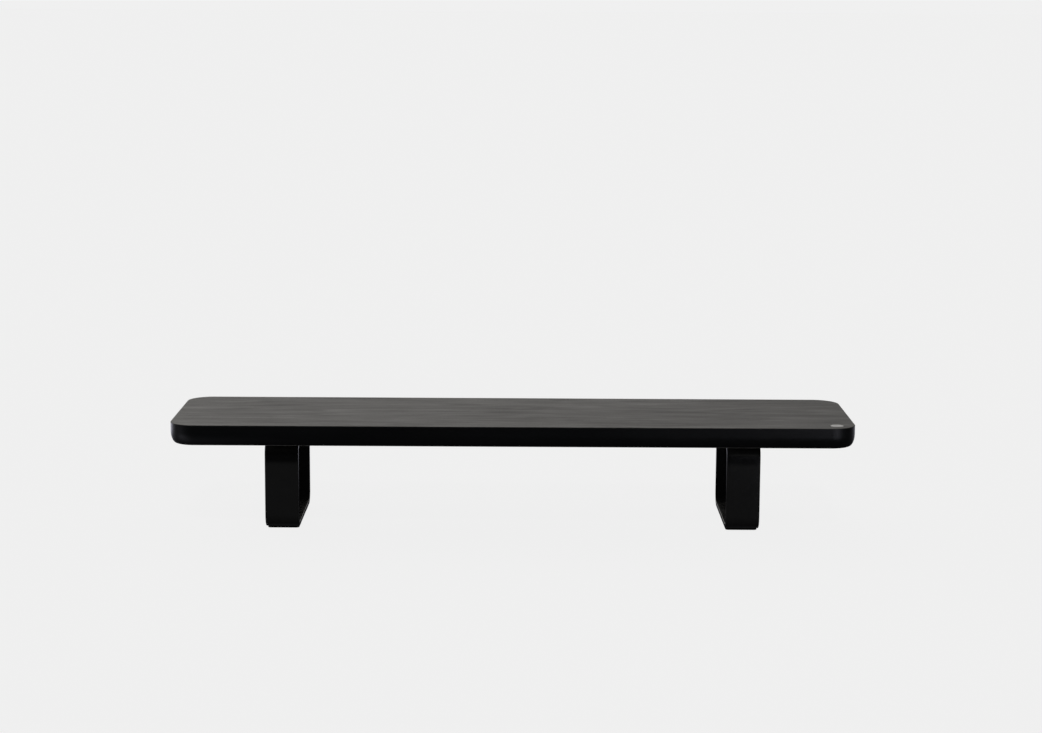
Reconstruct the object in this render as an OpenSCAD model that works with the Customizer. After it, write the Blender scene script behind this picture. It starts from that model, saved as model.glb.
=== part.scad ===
// Desk shelf: a long black-stained board that stands on two closed loops of
// flat steel bar and lifts a screen above the desk.
// Millimetres. +Z is up, +X runs along the board, -Y is the side the user faces.
// The origin is on the desk, under the middle of the board.

/* [Board] */
// Length of the board
board_len = 1016; // [800:1:1200]
// Depth of the board from front to back
board_depth = 254; // [220:1:320]
// Thickness of the finished board, veneers included
board_t = 31; // [26:0.5:36]
// Corner radius of the board seen from above
corner_r = 38; // [24:1:60]
// How far the rounded lower edge runs in under the board
edge_in = 8; // [4:0.5:12]
// How far the rounded lower edge reaches up the side
edge_up = 18; // [8:0.5:20]
// Thickness of each face veneer, and radius of the eased upper edge
veneer_t = 0.8; // [0.6:0.1:1.2]

/* [Legs] */
// Height of a leg loop without its foot pads
leg_h = 130; // [100:0.5:180]
// Depth of a leg loop from front to back
leg_depth = 192; // [184:1:218]
// Width of the flat bar
bar_w = 50; // [48:1:60]
// Thickness of the flat bar
bar_t = 6; // [5:0.5:8]
// Outer radius of the bends in the bar
bend_r = 20; // [14:1:28]
// Distance from the middle of the board to the middle of a leg
leg_x = 343.5; // [250:0.5:400]

/* [Fasteners] */
// Spacing of the leg screws along the board
screw_dx = 26; // [24:1:28]
// Spacing of the leg screws from front to back
screw_dy = 120; // [90:1:126]
// Nominal diameter of the leg screws
screw_d = 6; // [5:0.5:6]
// Length of the screw shank under the head
screw_len = 20; // [18:1:22]
// Depth of the bore for each threaded insert, from the underside
insert_bore_depth = 17; // [16:0.5:20]

/* [Foot pads] */
// Thickness of a foot pad
pad_t = 3.5; // [1:0.5:5]
// Size of a foot pad across the bar
pad_w = 47; // [30:1:48]
// Size of a foot pad along the bar
pad_len = 40; // [20:1:50]

/* [Badge] */
// Diameter of the blank metal disc let into the top
badge_d = 19.5; // [16:0.5:24]
// Thickness of the disc
badge_t = 1.8; // [1.2:0.1:2]
// Distance from the right-hand end of the board to the centre of the disc
badge_end = 28; // [20:1:60]
// Distance from the front of the board to the centre of the disc
badge_front = 26; // [20:1:60]

/* [Hidden] */

$fn = 96;
eps = 0.01;

// Heights above the desk
board_z = pad_t + leg_h;
top_z = board_z + board_t;

// Edge profile: each point is [distance in from the vertical side, height above
// the underside]. The lower part is a quarter ellipse, split where the bottom
// veneer ends, and the upper part is a quarter circle through the top veneer.
edge_steps = 9;
split_angle = acos(1 - veneer_t / edge_up);
function ellipse_point(a) = [edge_in * (1 - sin(a)), edge_up * (1 - cos(a))];
function ellipse_run(a0, a1, steps) =
    [for (i = [0:steps]) ellipse_point(a0 + (a1 - a0) * i / steps)];
function ease_run(steps) =
    [for (i = [0:steps]) let (a = 90 * i / steps)
        [veneer_t * (1 - cos(a)), board_t - veneer_t * (1 - sin(a))]];

core_edge = concat(ellipse_run(split_angle, 90, edge_steps), [[0, board_t - veneer_t]]);
bottom_edge = ellipse_run(0, split_angle, 3);
top_edge = ease_run(4);

// Badge
badge_x = board_len / 2 - badge_end;
badge_y = -board_depth / 2 + badge_front;
badge_gap = 0.15;
tape_t = 0.2;
tape_d = badge_d - 2;

// Leg hardware, in heights measured from the top plate's lower face
plate_z = board_z - bar_t;
leg_hole_d = 7;
washer_d = 12;
washer_hole_d = 6.4;
washer_t = 1.6;
head_d = 10.5;
head_h = 3.3;
socket_af = 4;
socket_depth = 2.1;
shank_gap = 0.1;
insert_d = 10;
insert_len = 14;
insert_gap = 0.1;
insert_collar_d = 11.4;
insert_collar_t = 1.4;
insert_groove = 0.5;

// Foot pads start where the flat part of the lower plate does
pad_corner_r = 5;
pad_y = leg_depth / 2 - bend_r - pad_len / 2;

BLACK_STAIN = [0.13, 0.125, 0.12];
BLACK_PAINT = [0.05, 0.05, 0.055];
POWDER_COAT = [0.07, 0.07, 0.075];

// A flat slab with the board's outline and a given run of edge points
module slab(edge) {
    lo = edge[0][1];
    hi = edge[len(edge) - 1][1];
    translate([0, 0, board_z]) {
        // The run of the board between the corners, with the front and back edges
        translate([-(board_len / 2 - corner_r), 0, 0])
            rotate([90, 0, 90])
                linear_extrude(board_len - 2 * corner_r)
                    section(edge, board_depth / 2);
        // The run between the corners, with the two end edges
        translate([0, board_depth / 2 - corner_r, 0])
            rotate([90, 0, 0])
                linear_extrude(board_depth - 2 * corner_r)
                    section(edge, board_len / 2);
        // The four corners
        for (mx = [0, 1], my = [0, 1])
            mirror([mx, 0, 0])
                mirror([0, my, 0])
                    translate([board_len / 2 - corner_r, board_depth / 2 - corner_r, 0])
                        rotate_extrude(angle = 90)
                            polygon(concat(
                                [[0, lo]],
                                [for (p = edge) [corner_r - p[0], p[1]]],
                                [[0, hi]]));
    }
}

// Cross-section of the slab, half as wide as half_w on each side
module section(edge, half_w) {
    n = len(edge);
    polygon(concat(
        [for (p = edge) [half_w - p[0], p[1]]],
        [for (i = [n - 1:-1:0]) [edge[i][0] - half_w, edge[i][1]]]));
}

// Puts its children at the four screw places of the leg on one side (-1 or 1)
module at_screws(side) {
    for (dx = [-1, 1], dy = [-1, 1])
        translate([side * leg_x + dx * screw_dx / 2, dy * screw_dy / 2, 0])
            children();
}

// Bores for the inserts of both legs, from below the board up to a height
module insert_bores(height) {
    for (side = [-1, 1])
        at_screws(side)
            translate([0, 0, board_z - eps])
                cylinder(d = insert_d + 2 * insert_gap, h = height + eps);
}

// Wider mouth that lets each insert's collar sit flush with the underside
module collar_mouths() {
    for (side = [-1, 1])
        at_screws(side)
            translate([0, 0, board_z - eps])
                cylinder(d = insert_collar_d + 2 * insert_gap,
                         h = insert_collar_t + insert_gap + eps);
}

module board_core() {
    color(BLACK_PAINT)
        difference() {
            slab(core_edge);
            insert_bores(insert_bore_depth);
            collar_mouths();
            translate([badge_x, badge_y, top_z - badge_t - tape_t])
                cylinder(d = badge_d + 2 * badge_gap, h = badge_t + tape_t);
        }
}

module top_veneer() {
    color(BLACK_STAIN)
        difference() {
            slab(top_edge);
            translate([badge_x, badge_y, top_z - 2 * veneer_t])
                cylinder(d = badge_d + 2 * badge_gap, h = 3 * veneer_t);
        }
}

module bottom_veneer() {
    color(BLACK_STAIN)
        difference() {
            slab(bottom_edge);
            collar_mouths();
        }
}

// Blank disc, domed by a small bevel so that its rim catches the light
module badge_disc() {
    bevel = 0.4;
    color("silver")
        translate([badge_x, badge_y, top_z - badge_t])
            rotate_extrude()
                polygon([
                    [0, 0], [badge_d / 2, 0], [badge_d / 2, badge_t - bevel],
                    [badge_d / 2 - bevel, badge_t], [0, badge_t]]);
}

module badge_tape() {
    color("white")
        translate([badge_x, badge_y, top_z - badge_t - tape_t])
            cylinder(d = tape_d, h = tape_t);
}

// Closed outline of a leg, depth along X and height along Y
module loop_outline(depth, height, r) {
    square([depth - 2 * r, height], center = true);
    square([depth, height - 2 * r], center = true);
    for (sx = [-1, 1], sy = [-1, 1])
        translate([sx * (depth / 2 - r), sy * (height / 2 - r)])
            circle(r);
}

module leg(side) {
    color(POWDER_COAT)
        difference() {
            translate([side * leg_x - bar_w / 2, 0, pad_t + leg_h / 2])
                rotate([90, 0, 90])
                    linear_extrude(bar_w)
                        difference() {
                            loop_outline(leg_depth, leg_h, bend_r);
                            loop_outline(leg_depth - 2 * bar_t, leg_h - 2 * bar_t,
                                         bend_r - bar_t);
                        }
            at_screws(side)
                translate([0, 0, plate_z - eps])
                    cylinder(d = leg_hole_d, h = bar_t + 2 * eps);
        }
}

// Threaded insert: a collar, then a grooved barrel glued into its bore
module threaded_inserts(side) {
    bore_r = screw_d / 2;
    barrel_r = insert_d / 2;
    ring_h = (insert_len - insert_collar_t) / 7;
    color("goldenrod")
        at_screws(side)
            translate([0, 0, board_z])
                rotate_extrude()
                    polygon(concat(
                        [[bore_r, 0], [insert_collar_d / 2, 0],
                         [insert_collar_d / 2, insert_collar_t],
                         [barrel_r, insert_collar_t]],
                        [for (i = [0:2]) let (z = insert_collar_t + (1 + 2 * i) * ring_h)
                            each [[barrel_r, z],
                                  [barrel_r - insert_groove, z + ring_h / 4],
                                  [barrel_r - insert_groove, z + ring_h * 3 / 4],
                                  [barrel_r, z + ring_h]]],
                        [[barrel_r, insert_len - insert_groove],
                         [barrel_r - insert_groove, insert_len],
                         [bore_r, insert_len]]));
}

module washers(side) {
    color("silver")
        at_screws(side)
            translate([0, 0, plate_z - washer_t])
                difference() {
                    cylinder(d = washer_d, h = washer_t);
                    translate([0, 0, -eps])
                        cylinder(d = washer_hole_d, h = washer_t + 2 * eps);
                }
}

// Button-head screw, head down, with a hexagon socket
module leg_screws(side) {
    shank_r = screw_d / 2 - shank_gap;
    head_r = head_d / 2;
    flat_r = 0.7 * socket_af;
    rim_h = 0.8;
    tip = 0.6;
    dome_steps = 6;
    color("dimgray")
        at_screws(side)
            translate([0, 0, plate_z - washer_t])
                difference() {
                    rotate_extrude()
                        polygon(concat(
                            [[0, -head_h]],
                            [for (i = [0:dome_steps]) let (a = 90 * i / dome_steps)
                                [flat_r + (head_r - flat_r) * sin(a),
                                 -rim_h - (head_h - rim_h) * cos(a)]],
                            [[head_r, 0], [shank_r, 0],
                             [shank_r, screw_len - tip], [shank_r - tip, screw_len],
                             [0, screw_len]]));
                    translate([0, 0, -head_h - eps])
                        cylinder(d = socket_af / cos(30), h = socket_depth + eps, $fn = 6);
                }
}

// Rounded rectangular pad, side -1 left or 1 right, row -1 front or 1 rear
module foot_pad(side, row) {
    color("dimgray")
        translate([side * leg_x, row * pad_y, 0])
            linear_extrude(pad_t)
                loop_outline(pad_w, pad_len, pad_corner_r);
}

board_core();
top_veneer();
bottom_veneer();
badge_disc();
badge_tape();
leg(-1);  // left_leg
leg(1);  // right_leg
threaded_inserts(-1);  // left_threaded_inserts
threaded_inserts(1);  // right_threaded_inserts
washers(-1);  // left_washers
washers(1);  // right_washers
leg_screws(-1);  // left_leg_screws
leg_screws(1);  // right_leg_screws
foot_pad(-1, -1);  // left_front_foot_pad
foot_pad(-1, 1);  // left_rear_foot_pad
foot_pad(1, -1);  // right_front_foot_pad
foot_pad(1, 1);  // right_rear_foot_pad
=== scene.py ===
"""Looks of the desk shelf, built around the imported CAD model. Metres, in the CAD frame."""

import math

import bmesh
import bpy
from mathutils import Euler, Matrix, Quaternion, Vector

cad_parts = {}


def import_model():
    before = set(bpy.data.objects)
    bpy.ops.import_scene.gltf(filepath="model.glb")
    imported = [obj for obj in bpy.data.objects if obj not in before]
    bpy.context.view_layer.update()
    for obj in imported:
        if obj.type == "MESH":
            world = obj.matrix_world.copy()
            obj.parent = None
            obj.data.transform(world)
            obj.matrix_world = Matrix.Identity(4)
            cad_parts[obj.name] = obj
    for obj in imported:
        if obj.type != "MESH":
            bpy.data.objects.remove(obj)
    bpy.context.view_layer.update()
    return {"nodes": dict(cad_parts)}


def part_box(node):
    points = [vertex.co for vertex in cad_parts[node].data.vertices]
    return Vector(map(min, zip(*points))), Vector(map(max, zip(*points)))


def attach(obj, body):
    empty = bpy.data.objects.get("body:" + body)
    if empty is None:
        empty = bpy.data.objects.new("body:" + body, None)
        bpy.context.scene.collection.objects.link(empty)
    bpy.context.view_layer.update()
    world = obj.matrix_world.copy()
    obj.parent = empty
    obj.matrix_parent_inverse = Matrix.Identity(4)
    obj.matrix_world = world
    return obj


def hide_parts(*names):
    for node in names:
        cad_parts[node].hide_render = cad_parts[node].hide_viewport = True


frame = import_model()

MM = 0.001
BODY = "root"
SIDES = ("left", "right")

# ---------------------------------------------------------------- sizes

# Board: the boxes come from the frame, and the edge shape is the CAD model's
CORNER_R = 38 * MM
EDGE_IN = 8 * MM
EDGE_UP = 18 * MM
CORNER_STEPS = 32
EDGE_STEPS = 28
EASE_STEPS = 8
CAP_BORDER = 0.7 * MM
STRAIGHT_STEPS = 12
UNDER_STEPS = 5
WALL_STEPS = 4
BOARD_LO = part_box("bottom_veneer")[0]
BOARD_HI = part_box("top_veneer")[1]
HALF_LEN, HALF_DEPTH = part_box("board_core")[1].xy
BOARD_Z, TOP_Z = BOARD_LO.z, BOARD_HI.z
VENEER_T = TOP_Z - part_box("top_veneer")[0].z

# Legs
BAR_T = 6 * MM
BEND_R = 20 * MM
BAR_EASE = 0.9 * MM
LEG_HOLE_D = 7 * MM
WELD_W = 5.5 * MM
WELD_H = 1.1 * MM
WELD_RIPPLE = 1.6 * MM
WELD_MARGIN = 1.5 * MM
WELD_SIDES = 20
RIPPLE_STEPS = 6
RIPPLE_DEPTH = 0.14
EASE_TURNS = 6
EASE_STRAIGHTS = 4
BEND_STEPS = 24
BAR_STRAIGHTS = 10

# Hardware
SCREW_DX = 26 * MM
SCREW_DY = 120 * MM
HEAD_D = 10.5 * MM
HEAD_H = 3.3 * MM
RIM_H = 0.8 * MM
HEAD_FLAT_R = 2.8 * MM
DOME_STEPS = 12
SOCKET_AF = 4 * MM
SOCKET_DEPTH = 2.1 * MM
SHANK_R = 2.9 * MM
SHANK_LEN = 20 * MM
SHANK_STEPS = 36
SHANK_EASE = 0.3 * MM
THREAD_PITCH = 1 * MM
THREAD_DEPTH = 0.45 * MM
THREAD_START = 0.8 * MM
THREAD_STOP = SHANK_LEN - 0.6 * MM
THREAD_ROWS = 8
SOCKET_CHAMFER = 0.25 * MM
RIM_EASE = 0.2 * MM
SCREW_TURN = 0.4
WASHER_D = 12 * MM
WASHER_HOLE_D = 6.4 * MM
WASHER_T = 1.6 * MM
WASHER_EASE = 0.25 * MM
WASHER_STEPS = 72
DRILL_STEPS = 48
INSERT_BORE_D = 10.2 * MM
INSERT_BORE_DEPTH = 17 * MM
COLLAR_MOUTH_D = 11.6 * MM
COLLAR_MOUTH_DEPTH = 1.5 * MM

# Foot pads
PAD_CORNER_R = 5 * MM
PAD_EASE = 0.6 * MM
RIB_PITCH = 5 * MM
RIB_GROOVE = 1.6 * MM
GROOVE_DEPTH = 0.5 * MM
GROOVE_TAPER = 0.6
PAD_CORNER_STEPS = 10
PAD_STRAIGHTS = 3
PAD_EASE_STEPS = 5

# Badge
BADGE_BEVEL = 0.4 * MM
BADGE_GAP = 0.15 * MM
RING_IN = 1.6 * MM
RING_W = 0.5 * MM
RING_DEPTH = 0.12 * MM
BADGE_EASE = 0.2 * MM
BADGE_STEPS = 128
CUTTER_STEPS = 96

# Edges that turn by more than this many degrees stay sharp
SHARP_ANGLE = 33

# Refraction of the lacquers and of the powder coat
LACQUER_IOR = 1.45
POWDER_IOR = 1.4

# Turned and brushed metal
TURNING_LINES = 2500
BRUSH_LINES = 4200
BRASS = (0.62, 0.42, 0.17, 1)
PALE_BRASS = (0.7, 0.5, 0.24, 1)


# ---------------------------------------------------------------- mesh helpers

def rounded_rectangle(half_x, half_y, r, bend_steps, straight_steps=1):
    """(point, outward normal) pairs round a rectangle with round corners, anticlockwise."""
    corners = ((1, 1), (-1, 1), (-1, -1), (1, -1))
    centres = [Vector((sx * (half_x - r), sy * (half_y - r))) for sx, sy in corners]
    pairs = []
    for k, centre in enumerate(centres):
        for i in range(bend_steps + 1):
            a = (k + i / bend_steps) * math.pi / 2
            normal = Vector((math.cos(a), math.sin(a)))
            pairs.append((centre + normal * r, normal))
        start, end = centre + normal * r, centres[(k + 1) % 4] + normal * r
        for i in range(1, straight_steps):
            pairs.append((start.lerp(end, i / straight_steps), normal.copy()))
    return pairs


def loft(name, rings, ends="caps"):
    """A mesh object through rings of points.

    ends is "caps" for flat ends, or "loop" to join the last ring to the first.
    """
    bm = bmesh.new()
    rows = [[bm.verts.new(p) for p in ring] for ring in rings]
    n = len(rows[0])
    pairs = list(zip(rows, rows[1:]))
    if ends == "loop":
        pairs.append((rows[-1], rows[0]))
    for low, high in pairs:
        for i in range(n):
            j = (i + 1) % n
            bm.faces.new((low[i], low[j], high[j], high[i]))
    if ends == "caps":
        bm.faces.new(reversed(rows[0]))
        bm.faces.new(rows[-1])
    bmesh.ops.recalc_face_normals(bm, faces=bm.faces)
    mesh = bpy.data.meshes.new(name)
    bm.to_mesh(mesh)
    bm.free()
    obj = bpy.data.objects.new(name, mesh)
    bpy.context.scene.collection.objects.link(obj)
    return obj


def circle(r, z, steps, at=(0, 0)):
    """A ring of points round a vertical axis."""
    turn = 2 * math.pi / steps
    return [(at[0] + r * math.cos(i * turn), at[1] + r * math.sin(i * turn), z) for i in range(steps)]


def lathe(name, profile, at=(0, 0), steps=64, ends="caps"):
    """A turned shape from (radius, height) points."""
    return loft(name, [circle(r, z, steps, at) for r, z in profile], ends)


def arc(centre, r, a0, a1, steps):
    """Points along an arc, angles in degrees."""
    angles = [math.radians(a0 + (a1 - a0) * i / steps) for i in range(steps + 1)]
    return [(centre[0] + r * math.cos(a), centre[1] + r * math.sin(a)) for a in angles]


def joined(name, objects):
    """One object that holds the meshes of several."""
    bm = bmesh.new()
    for obj in objects:
        bm.from_mesh(obj.data)
        bpy.data.objects.remove(obj)
    mesh = bpy.data.meshes.new(name)
    bm.to_mesh(mesh)
    bm.free()
    result = bpy.data.objects.new(name, mesh)
    bpy.context.scene.collection.objects.link(result)
    return result


def combine(obj, tool, operation):
    """Cuts the tool out of obj, or adds it, and removes the tool."""
    change = obj.modifiers.new("combine", "BOOLEAN")
    change.operation = operation
    change.solver = "EXACT"
    change.object = tool
    bpy.context.view_layer.update()
    evaluated = obj.evaluated_get(bpy.context.evaluated_depsgraph_get())
    mesh = bpy.data.meshes.new_from_object(evaluated)
    obj.modifiers.clear()
    obj.data = mesh
    bpy.data.objects.remove(tool)
    return obj


def screw_places(side):
    """The four (x, y) places of the screws of one leg."""
    lo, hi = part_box(f"{side}_leg")
    x = (lo.x + hi.x) / 2
    return [(x + dx * SCREW_DX / 2, dy * SCREW_DY / 2) for dx in (-1, 1) for dy in (-1, 1)]


def all_screw_places():
    """The (x, y) places of the screws of both legs."""
    return [place for side in SIDES for place in screw_places(side)]


def finish_piece(obj, material, slot, *nodes):
    """Gives a piece its shading, material and body, and hides the CAD nodes that it stands for. The
    slot is not used.
    """
    obj.data.materials.clear()
    obj.data.materials.append(material)
    for face in obj.data.polygons:
        face.use_smooth = True
    obj.data.set_sharp_from_angle(angle=math.radians(SHARP_ANGLE))
    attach(obj, BODY)
    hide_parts(*nodes)
    return obj


# ---------------------------------------------------------------- shader helpers

def new_material(name):
    """A material, its node tree and its surface shader."""
    material = bpy.data.materials.new(name)
    material.use_nodes = True
    return material, material.node_tree, material.node_tree.nodes["Principled BSDF"]


def node(tree, kind, inputs=(), **properties):
    """A shader node. inputs maps a socket's name or number to a value or to the output for it."""
    made = tree.nodes.new("ShaderNode" + kind)
    for key, value in properties.items():
        setattr(made, key, value)
    for key, value in dict(inputs).items():
        if isinstance(value, bpy.types.NodeSocket):
            tree.links.new(value, made.inputs[key])
        else:
            made.inputs[key].default_value = value
    return made


def place(tree):
    """Where a point is in the frame, in metres."""
    return node(tree, "TexCoord").outputs["Object"]


def scaled(tree, vector, per_metre):
    """A vector times a number for each axis."""
    return node(tree, "VectorMath", {0: vector, 1: per_metre}, operation="MULTIPLY").outputs[0]


def noise(tree, vector, per_metre, detail=3.0, roughness=0.5, distortion=0.0):
    """Noise with its own count of features per metre on each axis, from 0 to 1."""
    inputs = {
        "Vector": scaled(tree, vector, per_metre),
        "Scale": 1.0,
        "Detail": detail,
        "Roughness": roughness,
        "Distortion": distortion,
    }
    return node(tree, "TexNoise", inputs).outputs["Fac"]


def ranged(tree, value, low, high, out_low=0.0, out_high=1.0):
    """value from low..high to out_low..out_high, held at the ends."""
    inputs = {
        "Value": value,
        "From Min": low,
        "From Max": high,
        "To Min": out_low,
        "To Max": out_high,
    }
    return node(tree, "MapRange", inputs).outputs["Result"]


def maths(tree, operation, a, b=0.0):
    """The output of one Math node."""
    return node(tree, "Math", {0: a, 1: b}, operation=operation).outputs[0]


def mixed(tree, factor, a, b):
    """Two colours mixed. The Mix node repeats its sockets' names, so they go by number."""
    made = node(tree, "Mix", data_type="RGBA")
    for index, value in ((0, factor), (6, a), (7, b)):
        if isinstance(value, bpy.types.NodeSocket):
            tree.links.new(value, made.inputs[index])
        else:
            made.inputs[index].default_value = value
    return made.outputs[2]


def bump(tree, height, depth, strength):
    """A normal from a height of 0 to 1, where 1 stands depth metres proud."""
    inputs = {"Height": height, "Distance": depth, "Strength": strength}
    return node(tree, "Bump", inputs).outputs["Normal"]


def grey(level, warmth=0.0):
    """A grey colour, or a slightly warm one, or with a negative warmth a cool one."""
    return (level * (1 + warmth), level, level * (1 - warmth), 1.0)


# ---------------------------------------------------------------- materials

def stained_wood():
    """Black-stained open-pored veneer under satin lacquer, with its grain along X."""
    material, tree, surface = new_material("stained_wood")
    at = place(tree)
    sway = noise(tree, at, (2.2, 9, 9), 2.0)
    drift = node(tree, "CombineXYZ", {"Y": maths(tree, "MULTIPLY", sway, 0.03)}).outputs[0]
    grain_at = node(tree, "VectorMath", {0: at, 1: drift}, operation="ADD").outputs[0]
    figure = noise(tree, grain_at, (9, 60, 30), 4.0, 0.6, 0.8)
    bands = noise(tree, grain_at, (4.5, 15, 10), 3.0, 0.6, 0.6)
    fibre = noise(tree, grain_at, (30, 1100, 400), 3.0, 0.6)
    pores = noise(tree, grain_at, (170, 2600, 900), 2.0, 0.5)
    pore = ranged(tree, pores, 0.60, 0.72)

    dark, mid, light = grey(0.022, 0.03), grey(0.034, 0.03), grey(0.052, 0.05)
    colour = mixed(tree, ranged(tree, figure, 0.3, 0.7), dark, light)
    colour = mixed(tree, ranged(tree, bands, 0.35, 0.65, 0.15, 0.6), colour, mid)
    colour = mixed(tree, ranged(tree, fibre, 0.3, 0.75, 0.0, 0.3), colour, light)
    colour = mixed(tree, maths(tree, "MULTIPLY", pore, 0.7), colour, grey(0.008))
    tree.links.new(colour, surface.inputs["Base Color"])

    rough = ranged(tree, figure, 0.3, 0.7, 0.56, 0.43)
    rough = maths(tree, "ADD", rough, ranged(tree, bands, 0.3, 0.7, 0.04, -0.04))
    rough = maths(tree, "ADD", rough, maths(tree, "MULTIPLY", pore, 0.15))
    tree.links.new(rough, surface.inputs["Roughness"])

    height = maths(tree, "SUBTRACT", maths(tree, "MULTIPLY", fibre, 0.35), pore)
    tree.links.new(bump(tree, height, 0.05 * MM, 0.6), surface.inputs["Normal"])
    surface.inputs["IOR"].default_value = LACQUER_IOR
    return material


def edge_paint():
    """Smooth black lacquer on the routed core, with faint orange peel and fibres printing through."""
    material, tree, surface = new_material("edge_paint")
    at = place(tree)
    peel = noise(tree, at, (260, 260, 260), 2.0)
    fibre = noise(tree, at, (14, 300, 420), 3.0)
    haze = noise(tree, at, (9, 20, 30), 3.0)
    colour = mixed(tree, ranged(tree, haze, 0.3, 0.7), grey(0.0065, -0.05), grey(0.01, -0.05))
    tree.links.new(colour, surface.inputs["Base Color"])
    rough = ranged(tree, haze, 0.3, 0.7, 0.29, 0.34)
    tree.links.new(rough, surface.inputs["Roughness"])
    peel, fibre = maths(tree, "MULTIPLY", peel, 0.7), maths(tree, "MULTIPLY", fibre, 0.3)
    height = maths(tree, "ADD", peel, fibre)
    tree.links.new(bump(tree, height, 0.012 * MM, 0.7), surface.inputs["Normal"])
    surface.inputs["IOR"].default_value = LACQUER_IOR
    return material


def powder_coat():
    """Fine-textured black powder coat on steel."""
    material, tree, surface = new_material("leg_powder_coat")
    at = place(tree)
    grains = noise(tree, at, (1500, 1500, 1500), 2.0, 0.6)
    flow = noise(tree, at, (420, 420, 420), 2.0)
    cloud = noise(tree, at, (25, 25, 25), 3.0)
    colour = mixed(tree, ranged(tree, grains, 0.35, 0.7), grey(0.024), grey(0.034))
    colour = mixed(tree, ranged(tree, cloud, 0.3, 0.7, 0.0, 0.4), colour, grey(0.038))
    tree.links.new(colour, surface.inputs["Base Color"])
    rough = ranged(tree, cloud, 0.3, 0.7, 0.24, 0.29)
    rough = maths(tree, "ADD", rough, ranged(tree, grains, 0.3, 0.7, -0.03, 0.05))
    tree.links.new(rough, surface.inputs["Roughness"])
    grains, flow = maths(tree, "MULTIPLY", grains, 0.5), maths(tree, "MULTIPLY", flow, 0.5)
    height = maths(tree, "ADD", grains, flow)
    tree.links.new(bump(tree, height, 0.05 * MM, 0.5), surface.inputs["Normal"])
    surface.inputs["IOR"].default_value = POWDER_IOR
    return material


def turned_metal(name, colour, tint, roughness, centres_at, lines_per_metre):
    """Metal with fine rings about each (x, y) in centres_at, as a lathe or a round brush leaves."""
    material, tree, surface = new_material(name)
    at = place(tree)
    nearest = None
    for x, y in centres_at:
        offset = node(tree, "VectorMath", {0: at, 1: (x, y, 0)}, operation="SUBTRACT").outputs[0]
        flat = scaled(tree, offset, (1, 1, 0))
        length = node(tree, "VectorMath", {0: flat}, operation="LENGTH").outputs["Value"]
        nearest = length if nearest is None else maths(tree, "MINIMUM", nearest, length)
    radius = node(tree, "CombineXYZ", {"X": nearest}).outputs[0]
    rings = noise(tree, radius, (lines_per_metre, 1, 1), 2.0, 0.7)
    stain = noise(tree, at, (180, 180, 180), 3.0)
    shade = mixed(tree, ranged(tree, stain, 0.35, 0.7), colour, tint)
    shade = mixed(tree, ranged(tree, rings, 0.3, 0.7, 0.0, 0.25), shade, tint)
    tree.links.new(shade, surface.inputs["Base Color"])
    rough = maths(tree, "ADD", ranged(tree, rings, 0.3, 0.7, -0.05, 0.06), roughness)
    tree.links.new(rough, surface.inputs["Roughness"])
    tree.links.new(bump(tree, rings, 0.01 * MM, 0.5), surface.inputs["Normal"])
    surface.inputs["Metallic"].default_value = 1.0
    return material


def badge_metal():
    """Finely brushed aluminium, with rings about the badge's centre."""
    lo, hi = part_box("badge_disc")
    centre = ((lo.x + hi.x) / 2, (lo.y + hi.y) / 2)
    return turned_metal("badge_metal", grey(0.5), grey(0.4), 0.32, [centre], BRUSH_LINES)


def rubber():
    """Matt dark rubber with a slightly dusty, pebbled skin."""
    material, tree, surface = new_material("pad_rubber")
    at = place(tree)
    cells = scaled(tree, at, (1400, 1400, 1400))
    pebble = node(tree, "TexVoronoi", {"Vector": cells, "Scale": 1.0}).outputs["Distance"]
    dust = noise(tree, at, (120, 120, 120), 4.0, 0.65)
    colour = mixed(tree, ranged(tree, dust, 0.35, 0.75), grey(0.05), grey(0.085, 0.02))
    tree.links.new(colour, surface.inputs["Base Color"])
    tree.links.new(ranged(tree, dust, 0.3, 0.7, 0.7, 0.85), surface.inputs["Roughness"])
    tree.links.new(bump(tree, pebble, 0.04 * MM, 0.5), surface.inputs["Normal"])
    return material


def tape():
    """Pale foam tape with a fibrous edge."""
    material, tree, surface = new_material("adhesive_tape")
    at = place(tree)
    foam = noise(tree, at, (2200, 2200, 2200), 3.0, 0.6)
    colour = mixed(tree, foam, grey(0.62, 0.02), grey(0.75, 0.03))
    tree.links.new(colour, surface.inputs["Base Color"])
    tree.links.new(ranged(tree, foam, 0.2, 0.8, 0.65, 0.85), surface.inputs["Roughness"])
    tree.links.new(bump(tree, foam, 0.03 * MM, 0.4), surface.inputs["Normal"])
    return material


# ---------------------------------------------------------------- board

OUTLINE = rounded_rectangle(HALF_LEN, HALF_DEPTH, CORNER_R, CORNER_STEPS, STRAIGHT_STEPS)
SPLIT_ANGLE = math.degrees(math.acos(1 - VENEER_T / EDGE_UP))


def board_ring(inset, z):
    """The board's outline drawn in by inset, at a height."""
    return [(*(point - normal * inset), z) for point, normal in OUTLINE]


def lower_edge(a0, a1, steps):
    """(inset, height) points of the elliptical lower edge, from angle a0 to a1 in degrees."""
    angles = [math.radians(a0 + (a1 - a0) * i / steps) for i in range(steps + 1)]
    return [(EDGE_IN * (1 - math.sin(a)), BOARD_Z + EDGE_UP * (1 - math.cos(a))) for a in angles]


def slab(name, edge):
    """A closed layer of the board with a flat face inside its first and last (inset, height) points."""
    first, last = edge[0], edge[-1]
    edge = [(first[0] + CAP_BORDER, first[1]), *edge, (last[0] + CAP_BORDER, last[1])]
    return loft(name, [board_ring(inset, z) for inset, z in edge])


def badge_cutter(depth):
    """The round recess of the badge, from the top down to a depth."""
    lo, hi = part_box("badge_disc")
    centre = ((lo.x + hi.x) / 2, (lo.y + hi.y) / 2)
    r = (hi.x - lo.x) / 2 + BADGE_GAP
    return lathe("cutter", [(r, TOP_Z - depth), (r, TOP_Z + MM)], centre, CUTTER_STEPS)


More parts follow.
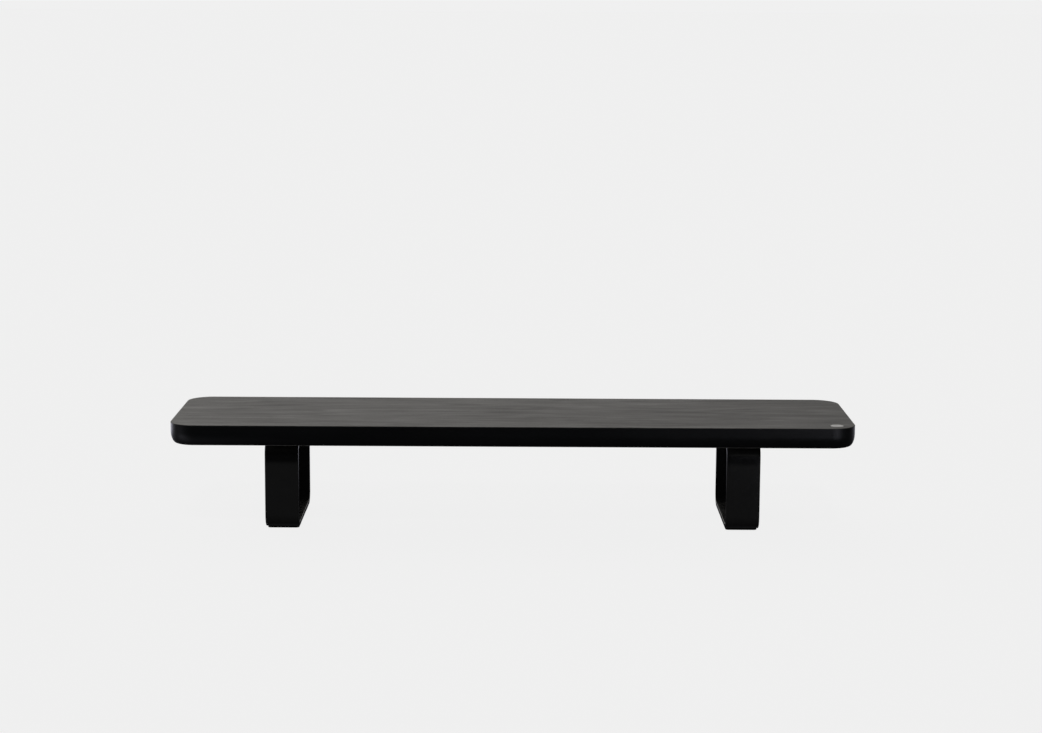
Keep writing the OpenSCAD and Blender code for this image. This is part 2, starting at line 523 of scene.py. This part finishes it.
def from_below(d, depth, z):
    """Drills of diameter d at all screw places, from under z to depth above it."""
    drills = [
        lathe("drill", [(d / 2, z - MM), (d / 2, z + depth)], at, DRILL_STEPS)
        for at in all_screw_places()
    ]
    return joined("cutter", drills)


def core_board():
    """The core with its routed edge, its recess for the badge and its bores for the inserts."""
    top = TOP_Z - VENEER_T
    edge = lower_edge(SPLIT_ANGLE, 90, EDGE_STEPS)
    bottom = BOARD_Z + EDGE_UP
    edge += [(0, bottom + (top - bottom) * (i + 1) / WALL_STEPS) for i in range(WALL_STEPS)]
    obj = slab("core_board", edge)
    combine(obj, badge_cutter(TOP_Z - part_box("badge_tape")[0].z), "DIFFERENCE")
    combine(obj, from_below(INSERT_BORE_D, INSERT_BORE_DEPTH, BOARD_Z), "DIFFERENCE")
    combine(obj, from_below(COLLAR_MOUTH_D, COLLAR_MOUTH_DEPTH, BOARD_Z), "DIFFERENCE")
    return finish_piece(obj, edge_paint(), "edge_paint", "board_core")


def veneers(wood):
    """The top veneer with an eased rim, and the one below, which ends inside the routed edge."""
    ease_centre = (VENEER_T, TOP_Z - VENEER_T)
    eased = arc(ease_centre, VENEER_T, 180, 90, EASE_STEPS)
    top = slab("upper_veneer", eased)
    combine(top, badge_cutter(3 * VENEER_T), "DIFFERENCE")
    finish_piece(top, wood, "stained_wood", "top_veneer")
    under = slab("lower_veneer", lower_edge(0, SPLIT_ANGLE, UNDER_STEPS))
    combine(under, from_below(COLLAR_MOUTH_D, COLLAR_MOUTH_DEPTH, BOARD_Z), "DIFFERENCE")
    finish_piece(under, wood, "stained_wood", "bottom_veneer")


def badge():
    """Blank disc with a bright bevel and one turned ring."""
    lo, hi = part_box("badge_disc")
    r, z = (hi.x - lo.x) / 2, hi.z
    centre = ((lo.x + hi.x) / 2, (lo.y + hi.y) / 2)
    profile = [(r - BADGE_EASE, lo.z), (r, lo.z + BADGE_EASE), (r, z - BADGE_BEVEL)]
    profile += arc((r - BADGE_BEVEL, z - BADGE_BEVEL), BADGE_BEVEL, 15, 90, 5)
    for side, depth in ((0, 0), (0.3, RING_DEPTH), (0.7, RING_DEPTH), (1, 0)):
        profile.append((r - RING_IN - side * RING_W, z - depth))
    profile.append((r / 2, z))
    obj = lathe("badge_face", profile, centre, BADGE_STEPS)
    return finish_piece(obj, badge_metal(), "badge_metal", "badge_disc")


# ---------------------------------------------------------------- legs

def weld_bead(x0, x1, z):
    """The ripples of the butt weld that closes the loop, under the upper plate."""
    count = RIPPLE_STEPS * round((x1 - x0) / WELD_RIPPLE)
    rings = []
    for i in range(count + 1):
        t = i / count
        taper = math.sqrt(max(1 - (2 * t - 1) ** 12, 0.02))
        ripple = 1 - RIPPLE_DEPTH + RIPPLE_DEPTH * abs(math.sin(math.pi * i / RIPPLE_STEPS))
        half_w, height = WELD_W / 2 * taper * (0.9 + 0.1 * ripple), WELD_H * taper * ripple
        x = x0 + (x1 - x0) * t
        angles = [2 * math.pi * k / WELD_SIDES for k in range(WELD_SIDES)]
        rings.append([(x, half_w * math.cos(a), z + height * math.sin(a)) for a in angles])
    return loft("weld", rings)


def leg(side, coat):
    """A closed loop of flat bar with eased edges, its weld and its screw holes."""
    lo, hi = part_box(f"{side}_leg")
    centre = (lo + hi) / 2
    half = (hi - lo) / 2
    section = rounded_rectangle(half.x, BAR_T / 2, BAR_EASE, EASE_TURNS, EASE_STRAIGHTS)
    loop = rounded_rectangle(half.y, half.z, BEND_R, BEND_STEPS, BAR_STRAIGHTS)
    rings = []
    for outer, normal in loop:
        middle = outer - normal * (BAR_T / 2)
        ring = []
        for point, _ in section:
            spot = middle + normal * point.y
            ring.append((centre.x + point.x, centre.y + spot.x, centre.z + spot.y))
        rings.append(ring)
    obj = loft(f"{side}_leg_loop", rings, "loop")
    plate_z = hi.z - BAR_T
    combine(obj, weld_bead(lo.x + WELD_MARGIN, hi.x - WELD_MARGIN, plate_z), "UNION")
    bore = [(LEG_HOLE_D / 2, plate_z - MM), (LEG_HOLE_D / 2, hi.z + MM)]
    drills = [lathe("drill", bore, at, DRILL_STEPS) for at in screw_places(side)]
    combine(obj, joined("cutter", drills), "DIFFERENCE")
    return finish_piece(obj, coat, "leg_powder_coat", f"{side}_leg")


# ---------------------------------------------------------------- hardware

def thread_r(a, z):
    """Radius of the screw's thread at an angle and a height."""
    phase = (z / THREAD_PITCH - a / (2 * math.pi)) % 1
    return SHANK_R - THREAD_DEPTH * min(1, max(0, abs(4 * phase - 2) - 0.35))


def dome():
    """(radius, height) points down from the top of a screw's head to its rim."""
    points = []
    for i in range(DOME_STEPS + 1):
        a = math.pi / 2 * i / DOME_STEPS
        r = HEAD_FLAT_R + (HEAD_D / 2 - HEAD_FLAT_R) * math.sin(a)
        points.append((r, -RIM_H - (HEAD_H - RIM_H) * math.cos(a)))
    return points


def screw(at, seat_z, turn):
    """A button-head screw, head down, with a hexagon socket and a cut thread."""
    head_r = HEAD_D / 2
    profile = dome() + [(head_r, -RIM_EASE), (head_r - RIM_EASE, 0)]
    profile += [(SHANK_R + SHANK_EASE, 0), (SHANK_R, SHANK_EASE)]
    rings = [circle(r, seat_z + z, SHANK_STEPS, at) for r, z in profile]
    count = round((THREAD_STOP - THREAD_START) / THREAD_PITCH * THREAD_ROWS)
    for i in range(count + 1):
        z = THREAD_START + (THREAD_STOP - THREAD_START) * i / count
        ring = []
        for k in range(SHANK_STEPS):
            a = 2 * math.pi * k / SHANK_STEPS
            r = thread_r(a, z)
            ring.append((at[0] + r * math.cos(a), at[1] + r * math.sin(a), seat_z + z))
        rings.append(ring)
    tip_r = SHANK_R - THREAD_DEPTH - SHANK_EASE
    rings.append(circle(tip_r, seat_z + SHANK_LEN, SHANK_STEPS, at))
    obj = loft("screw", rings)
    corner_r = SOCKET_AF / 2 / math.cos(math.pi / 6)
    corners = [turn + math.pi / 3 * k for k in range(6)]
    hexagon = []
    for z in (seat_z - HEAD_H + SOCKET_DEPTH, seat_z - HEAD_H - MM):
        ring = [(at[0] + corner_r * math.cos(a), at[1] + corner_r * math.sin(a), z) for a in corners]
        hexagon.append(ring)
    combine(obj, loft("socket", hexagon), "DIFFERENCE")
    mouth = corner_r + SOCKET_CHAMFER
    lead_in = [(corner_r - 0.55 * MM, 0.8 * MM), (mouth, 0), (mouth, -MM)]
    cone = lathe("cone", [(r, seat_z - HEAD_H + z) for r, z in lead_in], at, DRILL_STEPS)
    return combine(obj, cone, "DIFFERENCE")


def washer(at, z0, z1):
    """A flat washer with a stamped, slightly rounded rim."""
    hole_r, rim_r, ease = WASHER_HOLE_D / 2, WASHER_D / 2, WASHER_EASE
    profile = arc((rim_r - ease, z0 + ease), ease, -90, 0, 4)
    profile += arc((rim_r - ease, z1 - ease), ease, 0, 90, 4)
    profile += arc((hole_r + ease, z1 - ease), ease, 90, 180, 4)
    profile += arc((hole_r + ease, z0 + ease), ease, 180, 270, 4)
    return lathe("washer", profile, at, WASHER_STEPS, "loop")


def hardware(side, zinc, oxide):
    """The washers and the screws of one leg, under its upper plate."""
    plate_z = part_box(f"{side}_leg")[1].z - BAR_T
    lo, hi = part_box(f"{side}_washers")
    places = screw_places(side)
    washers = joined(f"{side}_flat_washers", [washer(at, lo.z, hi.z) for at in places])
    finish_piece(washers, zinc, "zinc_steel", f"{side}_washers")
    screws = [screw(at, plate_z - WASHER_T, SCREW_TURN * i) for i, at in enumerate(places)]
    screws = joined(f"{side}_button_screws", screws)
    finish_piece(screws, oxide, "black_oxide_steel", f"{side}_leg_screws")


# ---------------------------------------------------------------- foot pads

def foot_pad(node_name, material):
    """A rubber pad with rounded corners, eased rims and shallow grooves across its sole."""
    lo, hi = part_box(node_name)
    centre = (lo + hi) / 2
    half = (hi - lo) / 2
    outline = rounded_rectangle(half.x, half.y, PAD_CORNER_R, PAD_CORNER_STEPS, PAD_STRAIGHTS)
    lower = arc((PAD_EASE, lo.z + PAD_EASE), PAD_EASE, 270, 180, PAD_EASE_STEPS)
    upper = arc((PAD_EASE, hi.z - PAD_EASE), PAD_EASE, 180, 90, PAD_EASE_STEPS)
    flat = PAD_EASE + CAP_BORDER
    rings = []
    for inset, z in [(flat, lo.z), *lower, *upper, (flat, hi.z)]:
        ring = [(centre.x + p.x - n.x * inset, centre.y + p.y - n.y * inset, z) for p, n in outline]
        rings.append(ring)
    obj = loft(node_name.replace("_foot_pad", "_rubber_foot"), rings)
    mouth, root = RIB_GROOVE / 2, RIB_GROOVE / 2 * GROOVE_TAPER
    under, over = lo.z - MM, lo.z + GROOVE_DEPTH
    section = [(-mouth, under), (mouth, under), (root, over), (-root, over)]
    grooves = []
    count = int((hi.y - lo.y - 2 * PAD_CORNER_R) / RIB_PITCH)
    for i in range(count + 1):
        y = centre.y + (i - count / 2) * RIB_PITCH
        ends = [[(x, y + dy, z) for dy, z in section] for x in (lo.x - MM, hi.x + MM)]
        grooves.append(loft("groove", ends))
    combine(obj, joined("cutter", grooves), "DIFFERENCE")
    return finish_piece(obj, material, "pad_rubber", node_name)


# ---------------------------------------------------------------- build

wood = stained_wood()
core_board()
veneers(wood)
badge()
coat = powder_coat()
places = all_screw_places()
zinc = turned_metal("zinc_steel", grey(0.5), grey(0.62, 0.02), 0.35, places, TURNING_LINES)
oxide = turned_metal("black_oxide_steel", grey(0.045), grey(0.07), 0.36, places, TURNING_LINES)
brass = turned_metal("insert_brass", BRASS, PALE_BRASS, 0.3, places, TURNING_LINES)
pad = rubber()
for side in SIDES:
    leg(side, coat)
    hardware(side, zinc, oxide)
    for row in ("front", "rear"):
        foot_pad(f"{side}_{row}_foot_pad", pad)

for name, material in (
    ("left_threaded_inserts", brass),
    ("right_threaded_inserts", brass),
    ("badge_tape", tape()),
):
    carried = frame["nodes"][name]
    carried.data.materials.clear()
    carried.data.materials.append(material)

# ---------------------------------------------------------------- studio

# What the camera sees round the object
BACKDROP = 0.871
FLOOR_GLOW = 0.845
FLOOR_ALBEDO = 0.05
FLOOR_SIZE = 400.0

# Surroundings that only light the object
WORLD_BACK = 1.18
WORLD_TOP = 0.05
WORLD_BELOW = 0.2
WARM = (1.02, 1.0, 0.965, 1.0)
COOL = (0.97, 0.97, 1.12, 1.0)

# The reflector on the ground, away from its pools of light
REFLECTOR_SIZE = 8.0
REFLECTOR_GLOW = 0.022


def plane(name, size, z, material):
    """A level plane of the studio that gives no light to matt surfaces and casts no shadow."""
    bpy.ops.mesh.primitive_plane_add(size=size, location=(0, 0, z))
    obj = bpy.context.object
    obj.name = name
    obj.data.materials.append(material)
    obj.visible_diffuse = False
    obj.visible_shadow = False
    return obj


def shader_only(name):
    """A material with an empty node tree."""
    material = bpy.data.materials.new(name)
    material.use_nodes = True
    material.node_tree.nodes.clear()
    return material, material.node_tree


def floor():
    """A pale floor that takes only a faint shadow. From below it isn't seen."""
    material, tree = shader_only("floor")
    glow = node(tree, "Emission", {"Color": grey(1.0), "Strength": FLOOR_GLOW})
    diffuse = node(tree, "BsdfDiffuse", {"Color": grey(FLOOR_ALBEDO)})
    both = node(tree, "AddShader", {0: glow.outputs[0], 1: diffuse.outputs[0]})
    clear = node(tree, "BsdfTransparent")
    facing = node(tree, "NewGeometry").outputs["Backfacing"]
    mix = node(tree, "MixShader", {0: facing, 1: both.outputs[0], 2: clear.outputs[0]})
    node(tree, "OutputMaterial", {"Surface": mix.outputs[0]})
    plane("floor", FLOOR_SIZE, 0, material).visible_glossy = False


def pool(tree, at, centre, spread, brightness):
    """A soft glow on the ground round centre, which fades over spread along x and y."""
    away = node(tree, "VectorMath", {0: at, 1: (*centre, 0)}, operation="SUBTRACT").outputs[0]
    away = scaled(tree, away, (1 / spread[0], 1 / spread[1], 0))
    dot = node(tree, "VectorMath", {0: away, 1: away}, operation="DOT_PRODUCT")
    fall = maths(tree, "EXPONENT", maths(tree, "MULTIPLY", dot.outputs["Value"], -0.5))
    return maths(tree, "MULTIPLY", fall, brightness)


def reflector():
    """A dark ground with soft pools of light, for the object's reflections only."""
    material, tree = shader_only("reflector")
    at = place(tree)
    fading_along_edge = pool(tree, at, (1.5, -2.0), (0.5, 0.5), 3.5)
    right_corner = pool(tree, at, (0.9, -1.0), (0.15, 0.15), 1.2)
    left_corner = pool(tree, at, (-0.9, -0.3), (0.2, 0.1), 0.6)
    inner_leg_rims = pool(tree, at, (0.0, 0.75), (0.4, 0.2), 1.0)
    left_end = pool(tree, at, (-1.2, 0.8), (0.4, 0.3), 2.2)
    right_end = pool(tree, at, (1.1, 0.7), (0.25, 0.25), 0.5)
    level = REFLECTOR_GLOW
    for glow in (fading_along_edge, right_corner, left_corner, inner_leg_rims, left_end, right_end):
        level = maths(tree, "ADD", level, glow)
    surface = node(tree, "Emission", {"Color": COOL, "Strength": level})
    node(tree, "OutputMaterial", {"Surface": surface.outputs[0]})
    plane("reflector", REFLECTOR_SIZE, -MM, material).visible_camera = False


def world():
    """Soft light from behind and to the left. Only the camera sees the plain backdrop."""
    sky = bpy.data.worlds.new("studio")
    bpy.context.scene.world = sky
    sky.use_nodes = True
    tree = sky.node_tree
    tree.nodes.clear()
    direction = node(tree, "TexCoord").outputs["Generated"]
    parts = node(tree, "SeparateXYZ", {0: direction})
    back = ranged(tree, parts.outputs["Y"], -0.3, 0.8, 0.0, WORLD_BACK)
    left = ranged(tree, parts.outputs["X"], -0.6, 0.3, 1.0, 0.3)
    low = ranged(tree, parts.outputs["Z"], -0.6, 0.0)
    above = ranged(tree, parts.outputs["Z"], 0.2, 1.0, 0.0, WORLD_TOP)
    below = ranged(tree, parts.outputs["Z"], -1.0, -0.5, WORLD_BELOW, 0.0)
    level = maths(tree, "MULTIPLY", maths(tree, "MULTIPLY", back, left), low)
    level = maths(tree, "ADD", level, maths(tree, "ADD", above, below))
    light = node(tree, "Background", {"Color": WARM, "Strength": level})
    plain = node(tree, "Background", {"Color": grey(1.0), "Strength": BACKDROP})
    seen = node(tree, "LightPath").outputs["Is Camera Ray"]
    mix = node(tree, "MixShader", {0: seen, 1: light.outputs[0], 2: plain.outputs[0]})
    node(tree, "OutputWorld", {"Surface": mix.outputs[0]})


def toward(azimuth, elevation):
    """The direction to something. Azimuth 0 is straight in front of the shelf, 90 to its right."""
    a, e = math.radians(azimuth), math.radians(elevation)
    return Vector((math.sin(a) * math.cos(e), -math.cos(a) * math.cos(e), math.sin(e)))


def sun(name, azimuth, elevation, strength, angle, colour=(1, 1, 1)):
    """Even light from far off, from a disc that looks angle degrees wide."""
    data = bpy.data.lights.new(name, "SUN")
    data.energy = strength
    data.angle = math.radians(angle)
    data.color = colour
    obj = bpy.data.objects.new(name, data)
    bpy.context.scene.collection.objects.link(obj)
    obj.rotation_euler = toward(azimuth, elevation).to_track_quat("Z", "Y").to_euler()
    return obj


def strip_light(name, at, aim, size, brightness):
    """A small panel of even brightness that the camera doesn't see."""
    data = bpy.data.lights.new(name, "AREA")
    data.shape = "RECTANGLE"
    data.size, data.size_y = size
    data.energy = brightness * math.pi * size[0] * size[1]
    obj = bpy.data.objects.new(name, data)
    bpy.context.scene.collection.objects.link(obj)
    obj.location = at
    obj.rotation_euler = (Vector(at) - Vector(aim)).to_track_quat("Z", "Y").to_euler()
    obj.visible_camera = False


floor()
reflector()
world()
sun("key", azimuth=0, elevation=50, strength=0.55, angle=6)
sun("back", azimuth=180, elevation=42, strength=0.12, angle=24, colour=WARM[:3])
below = sun("below", azimuth=-100, elevation=-55, strength=2.5, angle=30)
strip_light("strip", at=(0.5, -1.5, 0.5), aim=(0.34, -0.1, 0.1), size=(0.2, 0.06), brightness=2.8)

# The light from below is for the underside only
underside = bpy.data.collections.new("underside")
underside.objects.link(bpy.data.objects["lower_veneer"])
for side in SIDES:
    underside.objects.link(bpy.data.objects[f"{side}_flat_washers"])
    underside.objects.link(bpy.data.objects[f"{side}_button_screws"])
below.light_linking.receiver_collection = underside

# ---------------------------------------------------------------- camera

CAMERA_AT = (0.0088, -3.4927, 0.7814)
CAMERA_DOWN = 8.894
CAMERA_TURN = -0.048
CAMERA_ROLL = 0.316
CAMERA_LENS = 80.45
SENSOR_WIDTH = 36
CLIP_END = 500

camera_data = bpy.data.cameras.new("camera")
camera_data.lens = CAMERA_LENS
camera_data.sensor_width = SENSOR_WIDTH
camera_data.clip_end = CLIP_END
camera = bpy.data.objects.new("camera", camera_data)
bpy.context.scene.collection.objects.link(camera)
camera.location = CAMERA_AT
camera.rotation_mode = "QUATERNION"
look = Euler((math.radians(90 - CAMERA_DOWN), 0, math.radians(CAMERA_TURN))).to_quaternion()
camera.rotation_quaternion = look @ Quaternion((0, 0, 1), math.radians(CAMERA_ROLL))
bpy.context.scene.camera = camera
bpy.context.scene.view_settings.view_transform = "Standard"
